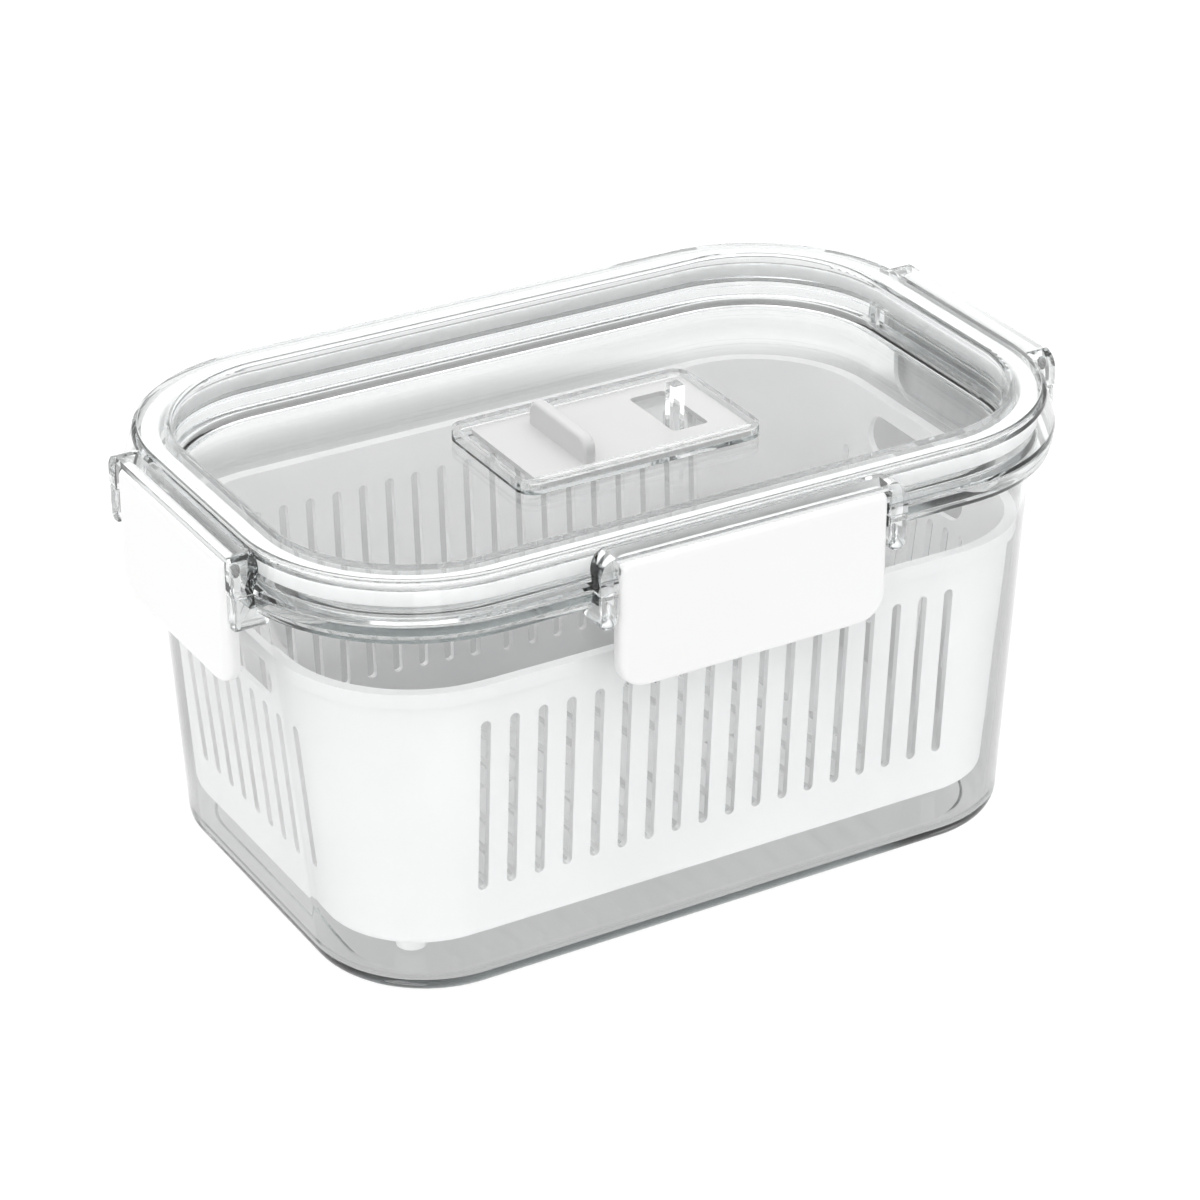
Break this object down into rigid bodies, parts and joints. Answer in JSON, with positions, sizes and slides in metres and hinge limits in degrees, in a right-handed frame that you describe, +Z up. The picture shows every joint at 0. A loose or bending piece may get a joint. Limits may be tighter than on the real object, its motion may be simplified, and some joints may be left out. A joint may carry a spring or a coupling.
{
  "type": "food storage container",
  "caption": "Clear rectangular airtight keeper with a recessed clear lid, a sliding vent, white snap latches on its sides and a white slotted drain basket inside.",
  "frame": {"origin": "middle of the container's flat underside", "axes": "+X along the long side, towards the right-hand latch; +Y towards the plain back side, away from the front latch; +Z up, the way the lid lifts off"},
  "size_m": [0.2142, 0.1375, 0.107],
  "materials": {
    "clear_plastic": "clear polished plastic",
    "white_plastic": "white satin moulded plastic",
    "silicone": "translucent soft silicone"
  },
  "bodies": {
    "container": {"container": "clear_plastic"},
    "basket": {"drain_basket": "white_plastic"},
    "lid": {"lid": "clear_plastic", "lid_gasket": "silicone"},
    "vent": {"vent_slider": "white_plastic", "vent_seal": "silicone"},
    "front_latch": {"front_latch": "white_plastic"},
    "left_latch": {"left_latch": "white_plastic"},
    "right_latch": {"right_latch": "white_plastic"}
  },
  "joints": [
    {"name": "lid_lift", "type": "slide", "parent": "container", "child": "lid", "axis": [0, 0, 1], "range_m": [0, 0.2]},
    {"name": "basket_lift", "type": "slide", "parent": "container", "child": "basket", "axis": [0, 0, 1], "range_m": [0, 0.1]},
    {"name": "vent_slide", "type": "slide", "parent": "lid", "child": "vent", "axis": [-1, 0, 0], "range_m": [0, 0.003]},
    {"name": "front_latch_hinge", "type": "hinge", "parent": "lid", "child": "front_latch", "pos_m": [0, -0.0684, 0.1019], "axis": [-1, 0, 0], "range_deg": [0, 95]},
    {"name": "left_latch_hinge", "type": "hinge", "parent": "lid", "child": "left_latch", "pos_m": [-0.1048, 0, 0.1019], "axis": [0, 1, 0], "range_deg": [0, 95]},
    {"name": "right_latch_hinge", "type": "hinge", "parent": "lid", "child": "right_latch", "pos_m": [0.1048, 0, 0.1019], "axis": [0, -1, 0], "range_deg": [0, 95]}
  ],
  "couplings": [
    {"joint": "basket_lift", "follows": "lid_lift", "ratio": 0.5}
  ]
}
